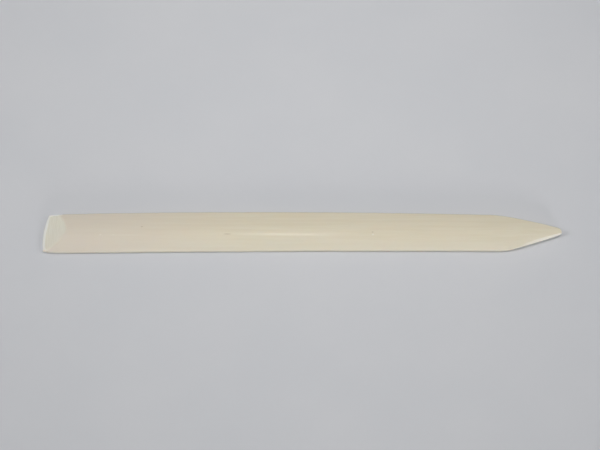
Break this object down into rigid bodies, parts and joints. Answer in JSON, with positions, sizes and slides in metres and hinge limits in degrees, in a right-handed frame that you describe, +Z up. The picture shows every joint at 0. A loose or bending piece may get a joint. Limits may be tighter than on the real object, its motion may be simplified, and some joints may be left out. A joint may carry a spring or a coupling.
{
  "type": "sculpting spatula",
  "caption": "Slim ivory-coloured sculpting spatula, one solid blade with a crowned upper side, a ground chisel at one end and a blunt rounded point at the other.",
  "frame": {"origin": "on the flat underside, below the centre of the blade's bounding box", "axes": "+X along the blade from the chisel end to the point, +Y across it to the outer side of the slight bow, +Z up from the flat underside to the crest"},
  "size_m": [0.16, 0.013, 0.0034],
  "materials": {
    "ivory_blade": "satin, hand-polished, with a matter ground face on the chisel"
  },
  "bodies": {
    "root": {"spatula_blade": "ivory_blade"}
  },
  "joints": []
}
